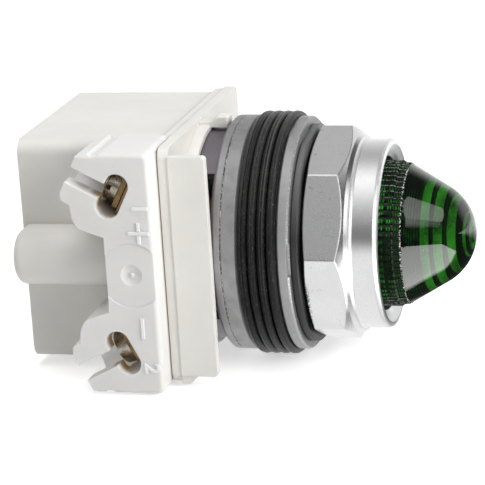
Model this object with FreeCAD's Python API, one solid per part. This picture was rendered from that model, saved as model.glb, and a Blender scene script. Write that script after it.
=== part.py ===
import FreeCAD, Part
import math
import os

# Panel pilot light for a round panel hole, in millimetres.
# X is the lamp axis and points at the lens, Z is up, and the wiring side faces -Y.
# X = 0 is the face of the gasket stack that the back of the panel lies on.

# Panel hole and operator casting
barrel_d = 29.6
barrel_reach = 11.2
barrel_bore_d = 22.9
fit_gap = 0.05
seat_gap = 0.1
gasket_count = 4
gasket_thick = 1.6
gasket_d = 41.0
gasket_edge = 0.62
flange_d = 39.6
flange_thick = 4.5
rear_band = 1.5
groove_width = 0.3
groove_depth = 0.4
flange_edge = 0.5
spigot_d = 35.8
spigot_wall = 1.9
spigot_length = 5.2
window_up_deg = 48.0
window_down_deg = 38.0
socket_seat_d = 27.0
socket_seat_depth = 2.5

# Trim washer and octagonal ring nut
washer_inset = 0.2
washer_thick = 2.0
step_inset = 1.3
step_thick = 1.3
crevice = 0.25
washer_flat_depth = 0.5
step_flat_depth = 0.55
washer_flat_deg = 8.0
washer_notch = 5.4
notch_lift = 0.8
notch_depth = 0.35
nut_flats = 34.0
nut_sides = 8
nut_turn_deg = -1.5
nut_hub_d = 32.6
nut_hub = 0.5
nut_thick = 6.6
nut_bevel = 1.1
nut_edge = 0.45
nut_cone = 0.7
cone_fillet = 0.5
collar_d = 31.6
collar_length = 4.7
collar_edge = 0.7
collar_bore_d = 25.7
dish_depth = 1.2
dish_rim = 0.9

# Lens
seal_thick = 0.8
seal_d = 24.6
grip_d = 24.4
grip_lip_d = 25.2
grip_lip = 0.9
grip_length = 5.5
grip_small_d = 23.8
grip_small_length = 1.4
flute_count = 64
flute_depth = 0.35
dome_d = 23.2
dome_length = 10.6
nose_radius = 9.2
dome_wall = 1.6
ring_step = 2.6
ring_steps = 3
skirt_length = 9.0
skirt_wall = 1.4

# Lamp and its holder
insulator_hub_d = 17.6
insulator_hub = 3.0
shell_bore_d = 9.4
shell_wall = 0.45
shell_length = 11.0
shell_flange_d = 16.8
shell_flange = 0.6
slot_width = 2.0
slot_depth = 4.4
lamp_turn_deg = 30.0
lamp_base_length = 12.0
lamp_pin_d = 1.6
lamp_pin_reach = 0.9
bulb_d = 8.8
bulb_length = 9.5
contact_pin_d = 2.4
contact_head_d = 5.0

# Module cover
cover_clear = 0.3
cover_thick = 1.7
cover_near = 21.35
cover_far = 25.0
cover_half_height = 19.85
cover_corner = 1.8
boss_wall = 0.9
boss_length = 2.0
key_width = 2.8
key_height = 1.9
key_ramp = 3.2
key_length = 5.1
key_edge = 0.35
tab_thick = 1.6
tab_step = 0.25
tab_length = 6.1
tab_half_height = 18.5
tab_corner = 0.6
gusset = 1.4
cable_window_d = 19.0

# Module housing
body_near = 12.9
body_far = 24.5
body_half_height = 19.05
body_length = 26.7
body_wall = 1.6
body_corner = 2.4
lip_thick = 1.6
lip_height = 0.55
bulge_half_width = 4.75
bulge_edge = 1.6

# Screws that hold the module to the flange
fixing_radius = 15.55
fixing_d = 3.5
fixing_head_d = 6.0
fixing_head = 2.3
fixing_bite = 3.3
fixing_pitch = 0.6
recess_depth = 3.9
recess_d = 6.7
lock_washer_thick = 0.8
column_d = 9.0
drive_slot = 0.9
drive_depth = 1.1

# Terminal block
block_face = 26.0
block_front_gap = 0.1
block_over = 0.35
block_corner = 1.2
notch_from_front = 9.25
notch_half = 0.35
notch_drop = 0.55
ridge_drop = 0.1
block_waist = 8.4
block_waist_half = 6.3
block_edge = 0.8
terminal_tilt_deg = 27.0
terminal_x = 6.5
terminal_inset = 7.0
terminal_depth = 6.2
entry_width = 4.0
entry_length = 7.8
entry_depth = 9.8
channel_d = 6.6
channel_reach = 8.0
slit_width = 2.8
claw_up = 3.4
claw_down = 4.6
screw_d = 3.4
screw_head_d = 6.0
screw_head = 2.3
screw_tail = 5.0
clamp_thick = 0.9
clamp_width = 5.6
clamp_travel = 2.6
plate_thick = 0.8
plate_width = 7.2
plate_near = 23.6
tail_overlap = 6.0
tail_width = 3.0
tail_end = 7.0
disc_mark_d = 10.8
disc_mark = 0.12
dimple_d = 3.6
dimple_depth = 0.45
nub_d = 0.9
nub_height = 0.32

# Circuit board and its parts
board_thick = 1.6
board_near = 9.6
board_margin = 1.2
resistor_d = 5.0
resistor_length = 13.0
resistor_shift = -2.0
resistor_lift = 0.6
lead_d = 0.8
lead_reach = 1.4
lead_solder = 0.2
capacitor_d = 8.0
capacitor_length = 11.0
capacitor_shift = -5.0
bridge_size = 7.4
bridge_height = 4.4
bridge_shift = 2.0
strip_thick = 0.5
strip_width = 2.4
ring_contact_y = 5.0
ring_contact_z = 6.0

# Places along the lamp axis, worked out from the sizes
gasket_back = -gasket_count * gasket_thick
flange_back = gasket_back - flange_thick
spigot_back = flange_back - spigot_length
cover_front = spigot_back - seat_gap - cover_clear
cover_back = cover_front - cover_thick
body_back = cover_back - body_length
washer_front = washer_thick + step_thick
nut_front = washer_front + nut_hub + nut_thick
collar_back = nut_front + nut_cone
collar_front = collar_back + collar_length
lens_seat = barrel_reach + seal_thick
grip_front = lens_seat + grip_length
dome_back = grip_front + grip_small_length
dome_tip = dome_back + dome_length
block_front = cover_back - block_front_gap
block_half_height = cover_half_height + block_over
terminal_z = block_half_height - terminal_inset
axis_x = FreeCAD.Vector(1, 0, 0)


def vec(x, y, z):
    return FreeCAD.Vector(x, y, z)


def block(x0, x1, y0, y1, z0, z1):
    return Part.makeBox(x1 - x0, y1 - y0, z1 - z0, vec(x0, y0, z0))


def rod(x0, x1, radius, y=0.0, z=0.0):
    return Part.makeCylinder(radius, x1 - x0, vec(x0, y, z), axis_x)


def ring(x0, x1, outer, inner, y=0.0, z=0.0):
    return rod(x0, x1, outer, y, z).cut(rod(x0 - 1, x1 + 1, inner, y, z))


def turned(points):
    """Solid of revolution about X from a closed list of (x, radius) points."""
    corners = [vec(x, 0, r) for x, r in points]
    outline = Part.makePolygon(corners + corners[:1])
    return Part.Face(outline).revolve(vec(0, 0, 0), axis_x, 360)


def prism_xz(points, y0, y1):
    """Closed outline of (x, z) points pulled from y0 to y1."""
    corners = [vec(x, y0, z) for x, z in points]
    outline = Part.makePolygon(corners + corners[:1])
    return Part.Face(outline).extrude(vec(0, y1 - y0, 0))


def prism_yz(points, x0, x1):
    """Closed outline of (y, z) points pulled from x0 to x1."""
    corners = [vec(x0, y, z) for y, z in points]
    outline = Part.makePolygon(corners + corners[:1])
    return Part.Face(outline).extrude(vec(x1 - x0, 0, 0))


def round_edges(solid, radius, wanted):
    """Rounds the edges whose middle point and direction the test accepts."""
    picked = []
    for edge in solid.Edges:
        middle = edge.valueAt((edge.FirstParameter + edge.LastParameter) / 2)
        start = edge.Vertexes[0].Point
        end = edge.Vertexes[-1].Point
        if wanted(middle, end - start):
            picked.append(edge)
    return solid.makeFillet(radius, picked)


def along_x(way):
    return abs(way.x) > 0.1 and abs(way.y) + abs(way.z) < 1e-6


def joined(first, *others):
    return first.fuse(list(others)).removeSplitter()


def both_sides(shape):
    """The same form again, mirrored below the lamp axis."""
    return shape.mirror(vec(0, 0, 0), vec(0, 0, 1))


# Operator: casting, gaskets, trim washer, ring nut

def operator_base():
    barrel_r = barrel_d / 2
    flange_r = flange_d / 2
    bore_r = barrel_bore_d / 2
    band = flange_back + rear_band
    solid = turned([
        (flange_back, bore_r),
        (flange_back, flange_r - flange_edge),
        (flange_back + flange_edge, flange_r),
        (band, flange_r),
        (band + groove_width / 2, flange_r - groove_depth),
        (band + groove_width, flange_r),
        (gasket_back - flange_edge, flange_r),
        (gasket_back, flange_r - flange_edge),
        (gasket_back, barrel_r),
        (barrel_reach - flange_edge, barrel_r),
        (barrel_reach, barrel_r - flange_edge),
        (barrel_reach, bore_r),
    ])
    spigot = ring(spigot_back, flange_back + flange_edge, spigot_d / 2, spigot_d / 2 - spigot_wall)
    solid = joined(solid, spigot.cut(spigot_windows()))
    seat = rod(flange_back - 1, flange_back + socket_seat_depth, socket_seat_d / 2)
    solid = solid.cut(seat)
    for side in (-1, 1):
        tapped = rod(flange_back - 1, flange_back + fixing_bite + seat_gap,
                     fixing_d / 2 + fit_gap, side * fixing_radius)
        solid = solid.cut(tapped)
    return solid


def spigot_windows():
    """Wedges that open the spigot beside the two fixing screws."""
    reach = spigot_d
    up = math.radians(window_up_deg)
    down = math.radians(window_down_deg)
    wedges = []
    for side in (-1, 1):
        outline = [
            (0, 0),
            (side * reach * math.cos(up), reach * math.sin(up)),
            (side * reach, 0),
            (side * reach * math.cos(down), -reach * math.sin(down)),
        ]
        wedges.append(prism_yz(outline, spigot_back - 1, flange_back))
    return wedges[0].fuse(wedges[1])


def gasket(index):
    back = gasket_back + index * gasket_thick
    front = back + gasket_thick
    solid = ring(back, front, gasket_d / 2, barrel_d / 2 + seat_gap)

    def outer_rim(middle, way):
        return math.hypot(middle.y, middle.z) > gasket_d / 2 - 0.01 and abs(way.x) < 1e-6
    return round_edges(solid, gasket_edge, outer_rim)


def trim_washer():
    outer = flange_d / 2 - washer_inset
    step = outer - step_inset
    bore = barrel_d / 2 + seat_gap
    solid = turned([
        (0, bore),
        (0, outer - 0.3),
        (0.3, outer),
        (washer_thick - 0.3, outer),
        (washer_thick, outer - 0.3),
        (washer_thick, step - 2 * crevice),
        (washer_thick + crevice, step - 2 * crevice),
        (washer_thick + crevice, step),
        (washer_front - 0.2, step),
        (washer_front, step - 0.2),
        (washer_front, bore),
    ])
    wide = outer + 1
    flat = block(-1, washer_front + 1, -wide, wide, outer - washer_flat_depth, wide)
    low_flat = step - step_flat_depth
    flat = flat.fuse(block(washer_thick, washer_front + 1, -wide, wide, low_flat, wide))
    flat.rotate(vec(0, 0, 0), axis_x, washer_flat_deg)
    notch = block(washer_thick - notch_depth, washer_thick + crevice, -wide, -step,
                  notch_lift - washer_notch / 2, notch_lift + washer_notch / 2)
    return solid.cut(flat.fuse(notch))


def ring_nut():
    back = washer_front
    face = back + nut_hub
    corner_r = nut_flats / 2 / math.cos(math.pi / nut_sides)
    outline = []
    for index in range(nut_sides):
        angle = math.radians(nut_turn_deg) + 2 * math.pi * index / nut_sides
        outline.append((corner_r * math.cos(angle), corner_r * math.sin(angle)))
    octagon = prism_yz(outline, face, nut_front)
    octagon = round_edges(octagon, nut_edge, lambda middle, way: along_x(way))
    envelope = turned([
        (face, 0),
        (face, nut_flats / 2),
        (face + nut_bevel / 2, corner_r),
        (nut_front - nut_bevel, corner_r),
        (nut_front, nut_flats / 2 - 0.3),
        (nut_front, 0),
    ])
    collar_r = collar_d / 2
    crown = turned([
        (back, 0),
        (back, nut_hub_d / 2),
        (nut_front, nut_hub_d / 2),
        (nut_front, nut_flats / 2 - 0.3),
        (collar_back, collar_r + cone_fillet),
        (collar_back + cone_fillet * 0.3, collar_r + cone_fillet * 0.3),
        (collar_back + cone_fillet, collar_r),
        (collar_front - collar_edge, collar_r),
        (collar_front - collar_edge * 0.3, collar_r - collar_edge * 0.3),
        (collar_front, collar_r - dish_rim),
        (collar_front - dish_depth, collar_bore_d / 2),
        (collar_front - dish_depth, 0),
    ])
    solid = joined(octagon.common(envelope), crown)
    thread = rod(back - 1, barrel_reach + seat_gap, barrel_d / 2 + fit_gap)
    throat = rod(barrel_reach, collar_front + 1, collar_bore_d / 2)
    return solid.cut(thread).cut(throat)


# Lens and its seal

def fluted_band(x0, x1, radius):
    outline = []
    for index in range(2 * flute_count):
        angle = math.pi * index / flute_count
        reach = radius if index % 2 == 0 else radius - flute_depth
        outline.append((reach * math.cos(angle), reach * math.sin(angle)))
    return prism_yz(outline, x0, x1)


def dome_shoulder():
    """Where the straight taper of the dome meets its round nose, as (x, radius)."""
    centre = dome_tip - nose_radius
    base_r = dome_d / 2
    reach = math.hypot(dome_back - centre, base_r)
    angle = math.atan2(base_r, dome_back - centre) - math.acos(nose_radius / reach)
    return centre + nose_radius * math.cos(angle), nose_radius * math.sin(angle)


def dome_radius(x):
    shoulder_x, shoulder_r = dome_shoulder()
    if x > shoulder_x:
        return math.sqrt(nose_radius ** 2 - (x - dome_tip + nose_radius) ** 2)
    part = (x - dome_back) / (shoulder_x - dome_back)
    return dome_d / 2 + part * (shoulder_r - dome_d / 2)


def dome():
    shoulder_x, shoulder_r = dome_shoulder()
    taper = Part.makeCone(dome_d / 2, shoulder_r, shoulder_x - dome_back, vec(dome_back, 0, 0), axis_x)
    nose = Part.makeSphere(nose_radius, vec(dome_tip - nose_radius, 0, 0))
    nose = nose.common(rod(shoulder_x, dome_tip + 1, nose_radius + 1))
    return taper.fuse(nose)


def lens():
    skirt_back = lens_seat - skirt_length
    skirt_r = barrel_bore_d / 2 - fit_gap
    inner_r = skirt_r - skirt_wall
    outer = joined(
        rod(skirt_back, lens_seat, skirt_r),
        rod(lens_seat, lens_seat + grip_lip, grip_lip_d / 2),
        fluted_band(lens_seat, grip_front, grip_d / 2),
        fluted_band(grip_front, dome_back, grip_small_d / 2),
        dome(),
    )
    # The inside is a straight well that closes towards the nose in round steps.
    hollow = rod(skirt_back - 1, dome_back, inner_r)
    for index in range(ring_steps):
        end = dome_back + (index + 1) * ring_step
        hollow = hollow.fuse(rod(dome_back - 1, end, dome_radius(end) - dome_wall))
    return outer.cut(hollow)


def lens_seal():
    return ring(barrel_reach, lens_seat, seal_d / 2, barrel_bore_d / 2)


# Lamp and its holder

def socket_insulator():
    front = flange_back + socket_seat_depth
    disc = rod(flange_back, front, socket_seat_d / 2 - seat_gap)
    hub = rod(front - 0.01, front + insulator_hub, insulator_hub_d / 2)
    solid = joined(disc, hub)
    solid = solid.cut(rod(flange_back - 1, front + insulator_hub + 1, contact_pin_d / 2 + fit_gap))
    return solid.cut(socket_tail(0.1, flange_back - 1, front + insulator_hub + 1))


def socket_tail(gap, x0, x1):
    return block(x0, x1,
                 -ring_contact_y - strip_width / 2 - gap, -ring_contact_y + strip_width / 2 + gap,
                 ring_contact_z - strip_thick / 2 - gap, ring_contact_z + strip_thick / 2 + gap)


shell_back = flange_back + socket_seat_depth + insulator_hub
lamp_back = shell_back + 1.3


def lamp_socket():
    shell_r = shell_bore_d / 2 + shell_wall
    shell = ring(shell_back, shell_back + shell_length, shell_r, shell_bore_d / 2)
    foot = ring(shell_back, shell_back + shell_flange, shell_flange_d / 2, shell_bore_d / 2)
    solid = joined(shell, foot, socket_tail(0, flange_back - 0.4, shell_back + shell_flange / 2))
    # Two J-shaped slots: in along the axis, then a short way round to where the pins rest.
    slot_end = shell_back + shell_length
    entry = block(slot_end - slot_depth, slot_end + 1, -slot_width / 2, slot_width / 2,
                  -shell_r - 1, shell_r + 1)
    for side in (-1, 1):
        solid = solid.cut(bayonet_leg(side, slot_end - slot_depth, shell_r + 1))
    entry.rotate(vec(0, 0, 0), axis_x, lamp_turn_deg)
    return solid.cut(entry)


def bayonet_leg(side, x0, reach):
    """Part of the slot that runs round the shell, from the rest place to the entry."""
    spread = math.degrees(slot_width / (shell_bore_d + shell_wall))
    start = math.radians(90 - spread)
    end = math.radians(90 + lamp_turn_deg)
    outline = [(0, 0)]
    for angle in (start, (start + end) / 2, end):
        outline.append((side * reach * math.cos(angle), side * reach * math.sin(angle)))
    return prism_yz(outline, x0, x0 + slot_width)


def centre_contact():
    pin = rod(flange_back - 0.6, lamp_back, contact_pin_d / 2)
    head = rod(flange_back - 0.6, flange_back, contact_head_d / 2)
    return joined(pin, head)


def lamp_base():
    radius = shell_bore_d / 2 - seat_gap
    front = lamp_back + 0.8 + lamp_base_length
    body = turned([
        (lamp_back, 0),
        (lamp_back, 1.4),
        (lamp_back + 0.8, 2.2),
        (lamp_back + 0.8, radius),
        (front, radius),
        (front, 0),
    ])
    pin_x = shell_back + shell_length - slot_depth + slot_width / 2
    pin_reach = radius + lamp_pin_reach
    pins = Part.makeCylinder(lamp_pin_d / 2, 2 * pin_reach, vec(pin_x, 0, -pin_reach), vec(0, 0, 1))
    return joined(body, pins)


def lamp_bulb():
    back = lamp_back + 0.8 + lamp_base_length
    radius = bulb_d / 2
    stem = rod(back, back + bulb_length - radius, radius)
    nose = Part.makeSphere(radius, vec(back + bulb_length - radius, 0, 0))
    nose = nose.common(rod(back + bulb_length - radius, back + bulb_length + 1, radius + 1))
    return joined(stem, nose)


# Module: cover, housing, fixing screws

def front_cover():
    plate = block(cover_back, cover_front, -cover_near, cover_far,
                  -cover_half_height, cover_half_height)
    plate = round_edges(plate, cover_corner, lambda middle, way: along_x(way))
    boss_r = spigot_d / 2 + seat_gap
    boss = rod(cover_front - 0.01, cover_front + boss_length, boss_r + boss_wall)
    key_low = boss_r + boss_wall / 2
    key_top = key_low + key_height
    key = prism_xz([(cover_front - 0.01, key_low), (cover_front - 0.01, key_low + boss_wall),
                    (cover_front + boss_length, key_low + boss_wall), (cover_front + key_ramp, key_top),
                    (cover_front + key_length, key_top), (cover_front + key_length, key_low)],
                   -key_width / 2, key_width / 2)
    key = round_edges(key, key_edge,
                      lambda middle, way: middle.z > key_low + boss_wall and middle.x > cover_front
                      and (abs(way.y) > 1 or abs(middle.y) > 1))
    tab_face = cover_near + tab_step
    tab = block(cover_front - 0.01, cover_front + tab_length, -tab_face, -tab_face + tab_thick,
                -tab_half_height, tab_half_height)
    tab = round_edges(tab, tab_corner,
                      lambda middle, way: middle.x > cover_front + 1 and abs(way.z) < 1e-6
                      and abs(way.y) > 0.1)
    low = -tab_half_height
    ribs = prism_xz([(cover_front - 0.01, low), (cover_front + 2 * gusset, low),
                     (cover_front + gusset, low - gusset), (cover_front - 0.01, low - gusset)],
                    -cover_near, -cover_near + tab_thick)
    solid = joined(plate, boss, key, tab, ribs)
    well = rod(cover_front, cover_front + boss_length + 1, boss_r)
    passage = rod(cover_back - 1, cover_front + 1, cable_window_d / 2)
    solid = solid.cut(well).cut(passage)
    for side in (-1, 1):
        solid = solid.cut(rod(cover_back - 1, cover_front + 1, fixing_d / 2 + 0.25,
                              side * fixing_radius))
    return solid


def rear_housing():
    front = cover_back
    body = block(body_back, front, -body_near, body_far, -body_half_height, body_half_height)
    body = round_edges(body, body_corner, lambda middle, way: along_x(way))
    bulge = block(body_back, front, -fixing_radius, -body_near + 0.5,
                  -bulge_half_width, bulge_half_width)
    nose = rod(body_back, front, bulge_half_width, -fixing_radius)
    bulge = joined(bulge, nose)
    bulge = round_edges(bulge, bulge_edge,
                        lambda middle, way: abs(middle.x - body_back) < 1e-6
                        and middle.y < -body_near - 0.1)
    rim_high = body_half_height + lip_height
    rim = block(front - lip_thick, front, -body_near - lip_height, body_far + lip_height,
                -rim_high, rim_high)
    rim = round_edges(rim, body_corner, lambda middle, way: along_x(way))
    solid = joined(body, bulge, rim)
    inside = block(body_back + body_wall, front + 1, -body_near + body_wall, body_far - body_wall,
                   -body_half_height + body_wall, body_half_height - body_wall)
    inside = round_edges(inside, body_corner - body_wall, lambda middle, way: along_x(way))
    column = rod(body_back, front, column_d / 2, fixing_radius)
    solid = joined(solid.cut(inside), column, board_rails())
    for side in (-1, 1):
        shank = rod(body_back - 1, front + 1, fixing_d / 2 + 0.25, side * fixing_radius)
        recess = rod(body_back - 1, body_back + recess_depth, recess_d / 2, side * fixing_radius)
        solid = solid.cut(shank).cut(recess)
    for tail in terminal_pair(contact_tail(0.15)):
        solid = solid.cut(tail)
    return solid


def board_rails():
    """Short ribs under the roof and on the floor that hold the board's edges."""
    depth = 1.4
    ribs = []
    for face in (-board_near - depth - seat_gap, -board_near + board_thick + seat_gap):
        for low in (-body_half_height + body_wall - 0.2, body_half_height - body_wall - 1.0):
            ribs.append(block(body_back + body_wall - 0.2, cover_back - 2 * lip_thick,
                              face, face + depth, low, low + 1.2))
    return ribs[0].fuse(ribs[1:])


def fixing_screw(side):
    seat = body_back + recess_depth - lock_washer_thick
    head_back = seat - fixing_head
    head = rod(head_back, seat, fixing_head_d / 2, side * fixing_radius)

    def rear_rim(middle, way):
        return abs(middle.x - head_back) < 1e-6
    head = round_edges(head, 0.5, rear_rim)
    shank = rod(seat - 0.01, flange_back + fixing_bite, fixing_d / 2, side * fixing_radius)
    slot = block(head_back - 1, head_back + drive_depth,
                 side * fixing_radius - fixing_head_d, side * fixing_radius + fixing_head_d,
                 -drive_slot / 2, drive_slot / 2)
    return joined(head, shank).cut(slot)


def lock_washer(side):
    floor = body_back + recess_depth
    return ring(floor - lock_washer_thick, floor, fixing_head_d / 2, fixing_d / 2 + 0.1,
                side * fixing_radius)


# Terminal block. One terminal is drawn about its own screw: local +X is the way the screw
# is driven, local Y is the part's Y, and local Z is across the wire entry.

def terminal_place():
    turn = FreeCAD.Rotation(vec(0, 1, 0), terminal_tilt_deg)
    return FreeCAD.Placement(vec(block_front - terminal_x, 0, terminal_z), turn)


def at_terminal(shape):
    placed = shape.copy()
    placed.Placement = terminal_place()
    return placed


def terminal_pair(shape):
    upper = at_terminal(shape)
    return upper, both_sides(upper)


screw_y = -block_face + terminal_depth


past = entry_depth


def local_rod(x0, x1, radius):
    return Part.makeCylinder(radius, x1 - x0, vec(x0, screw_y, 0), axis_x)


def wire_entry():
    """Long round-ended pocket, open on the near face, that two wires go into."""
    half = (entry_length - entry_width) / 2
    top = -block_face - 1
    depth = entry_depth + 1
    middle = block(-entry_width / 2, entry_width / 2, top, top + depth, -half, half)
    ends = [Part.makeCylinder(entry_width / 2, depth, vec(0, top, z), vec(0, 1, 0))
            for z in (-half, half)]
    return middle.fuse(ends).removeSplitter()


def screw_channel():
    """Round channel for the screw's head, with the slit and the chamber of the clamp."""
    bore = local_rod(-channel_reach - 2, 0.5, channel_d / 2)
    slit = block(-channel_reach - 2, 0, -block_face - 1, screw_y, -slit_width / 2, slit_width / 2)
    chamber = block(-clamp_travel - seat_gap, plate_front - plate_thick,
                    screw_y - clamp_width / 2 - seat_gap, screw_y + clamp_width / 2 + seat_gap,
                    -clamp_width / 2 - 0.3, clamp_width / 2 + 0.3)
    relief = local_rod(0, screw_tail + 0.5, screw_d / 2 + 0.25)
    return bore.fuse([slit, chamber, relief])


plate_front = entry_width / 2


def contact_tail(gap):
    """Blade of the contact plate, from the terminal to the board."""
    return block(plate_front - plate_thick - gap, plate_front + gap,
                 -plate_near + tail_overlap, -tail_end + gap, -tail_width / 2 - gap, tail_width / 2 + gap)


def contact_head(gap):
    return block(plate_front - plate_thick - gap, plate_front + gap,
                 -plate_near - gap, screw_y + clamp_width / 2 + gap,
                 -plate_width / 2 - gap, plate_width / 2 + gap)


def terminal_contact():
    solid = joined(contact_head(0), contact_tail(0))
    return solid.cut(local_rod(-past, past, screw_d / 2 + fit_gap))


def clamp_plate():
    solid = block(0, clamp_thick, screw_y - clamp_width / 2, screw_y + clamp_width / 2,
                  -clamp_width / 2, clamp_width / 2)
    lips = [block(clamp_thick - 0.01, clamp_thick + 0.25,
                  screw_y - clamp_width / 2 + 0.5, screw_y + clamp_width / 2 - 0.5,
                  z - 0.25, z + 0.25)
            for z in (-2.4, 2.4)]
    solid = joined(solid, *lips)
    return solid.cut(local_rod(-past, past, screw_d / 2 + fit_gap))


def terminal_screw():
    head = local_rod(-screw_head, 0, screw_head_d / 2)
    head = round_edges(head, 0.4, lambda middle, way: abs(middle.x + screw_head) < 1e-6)
    shank = local_rod(-0.01, screw_tail, screw_d / 2)
    slot = block(-screw_head - 1, -screw_head + drive_depth,
                 screw_y - screw_head_d, screw_y + screw_head_d,
                 -drive_slot / 2, drive_slot / 2)
    return joined(head, shank).cut(slot)


def terminal_outline():
    """Upper half of the block's near face, from the front edge round the claws to the waist.

    A step is one (x, z) point for a straight run, or two points for an arc and its end.
    """
    turn = math.radians(terminal_tilt_deg)
    centre_x = block_front - terminal_x

    def local(out, across):
        return (centre_x - out * math.cos(turn) + across * math.sin(turn),
                terminal_z + out * math.sin(turn) + across * math.cos(turn))
    waist_x = block_front - block_waist
    notch_x = block_front - notch_from_front
    groove = block_half_height - notch_drop
    ridge = block_half_height - ridge_drop
    return [
        (block_front, 0),
        (block_front, block_half_height),
        (notch_x + 3 * notch_half, block_half_height),
        (notch_x + notch_half, groove),
        (notch_x - notch_half, groove),
        (notch_x - 3 * notch_half, ridge),
        local(channel_reach, claw_up),
        local(channel_reach, -claw_down + 1.2),
        local(channel_reach - 0.7, -claw_down),
        local(channel_reach - 2.3, -claw_down),
        (local(channel_reach - 3.6, -claw_down - 2.0), local(channel_reach - 5.1, -claw_down - 3.0)),
        (waist_x, block_waist_half),
        (waist_x, 0),
    ]


def outline_prism(steps, y0, y1):
    """Closed outline of straight runs and arcs in the XZ plane, pulled from y0 to y1."""
    edges = []
    last = vec(steps[0][0], y0, steps[0][1])
    for step in steps[1:] + steps[:1]:
        if isinstance(step[0], tuple):
            middle, end = [vec(x, y0, z) for x, z in step]
            edges.append(Part.Arc(last, middle, end).toShape())
        else:
            end = vec(step[0], y0, step[1])
            edges.append(Part.makeLine(last, end))
        last = end
    return Part.Face(Part.Wire(edges)).extrude(vec(0, y1 - y0, 0))


def terminal_block():
    upper = outline_prism(terminal_outline(), -block_face, -body_near - seat_gap)
    solid = joined(upper, both_sides(upper))
    solid = round_edges(solid, block_corner,
                        lambda middle, way: abs(way.y) > 1 and middle.x > block_front - 0.01)
    solid = round_edges(solid, block_edge,
                        lambda middle, way: abs(middle.y + block_face) < 1e-6
                        and middle.x > block_front - notch_from_front + 3 * notch_half)
    # It sits astride the screw channel of the housing and clears the raised lip.
    astride = bulge_half_width + seat_gap
    lip = body_near + lip_height + seat_gap
    solid = solid.cut(rod(body_back, cover_front, astride, -fixing_radius))
    solid = solid.cut(block(body_back, cover_front, -fixing_radius, 0, -astride, astride))
    solid = solid.cut(block(cover_back - lip_thick - seat_gap, cover_front, -lip, 0,
                            -block_half_height - 1, block_half_height + 1))
    cuts = wire_entry().fuse([screw_channel(), contact_head(0.05), contact_tail(0.05)])
    for side in terminal_pair(cuts):
        solid = solid.cut(side)
    return solid.cut(centre_mark())


def centre_mark():
    """Shallow round field on the near face, with a dish and a small nub at its centre."""
    centre_x = block_front - block_waist / 2
    floor = vec(centre_x, -block_face + disc_mark, 0)
    outwards = vec(0, -1, 0)
    field = Part.makeCylinder(disc_mark_d / 2, 1, floor, outwards)
    ball_r = ((dimple_d / 2) ** 2 + dimple_depth ** 2) / (2 * dimple_depth)
    ball = Part.makeSphere(ball_r, floor + outwards * (ball_r - dimple_depth))
    nub_foot = floor - outwards * (dimple_depth + 0.1)
    nub = Part.makeCone(nub_d / 2, nub_d / 3, nub_height + 0.1, nub_foot, outwards)
    return field.fuse(ball).cut(nub)


# Circuit board and its parts

def circuit_board():
    solid = block(body_back + body_wall + board_margin, cover_back - lip_thick - board_margin,
                  -board_near, -board_near + board_thick,
                  -body_half_height + body_wall + seat_gap, body_half_height - body_wall - seat_gap)
    for tail in terminal_pair(contact_tail(0.1)):
        solid = solid.cut(tail)
    return solid


board_top = -board_near + board_thick
board_mid = (body_back + cover_back) / 2


def dropping_resistor():
    y = board_top + resistor_d / 2 + resistor_lift
    middle = board_mid + resistor_shift
    z = -body_half_height / 2
    half = resistor_length / 2
    reach = half + lead_reach
    body = rod(middle - half, middle + half, resistor_d / 2, y, z)
    solid = joined(body, rod(middle - reach, middle + reach, lead_d / 2, y, z))
    leg_r = lead_d / 2 + lead_solder
    for x in (middle - reach, middle + reach):
        leg = Part.makeCylinder(leg_r, y - board_top + leg_r, vec(x, board_top, z), vec(0, 1, 0))
        solid = joined(solid, leg)
    return solid


def smoothing_capacitor():
    foot = vec(board_mid + capacitor_shift, board_top, body_half_height / 2)
    can = Part.makeCylinder(capacitor_d / 2, capacitor_length, foot, vec(0, 1, 0))
    top = [edge for edge in can.Edges if edge.Closed and edge.Vertexes[0].Point.y > board_top + 1]
    return can.makeFillet(0.6, top)


def rectifier():
    x = board_mid + bridge_shift
    half = bridge_size / 2
    solid = block(x - half, x + half, board_top, board_top + bridge_height, -half, half)
    return round_edges(solid, 0.6, lambda middle, way: abs(way.y) > 1 and abs(way.x) < 1e-6)


def feed_strip(end_y, z):
    """Bent strip that carries current from the board to the back of the lamp holder."""
    board_edge = cover_back - lip_thick - board_margin
    half = strip_width / 2
    path = [
        (board_edge - 4.0, board_top),
        (board_edge + 0.6, board_top),
        (board_edge + 0.6 + strip_thick, end_y - strip_thick),
        (flange_back - 1.2, end_y - strip_thick),
        (flange_back - 1.2, end_y),
        (board_edge + 0.6, end_y),
        (board_edge + 0.6 - strip_thick, board_top + strip_thick),
        (board_edge - 4.0, board_top + strip_thick),
    ]
    corners = [vec(x, y, z - half) for x, y in path]
    outline = Part.makePolygon(corners + corners[:1])
    return Part.Face(outline).extrude(vec(0, 0, strip_width))


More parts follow.
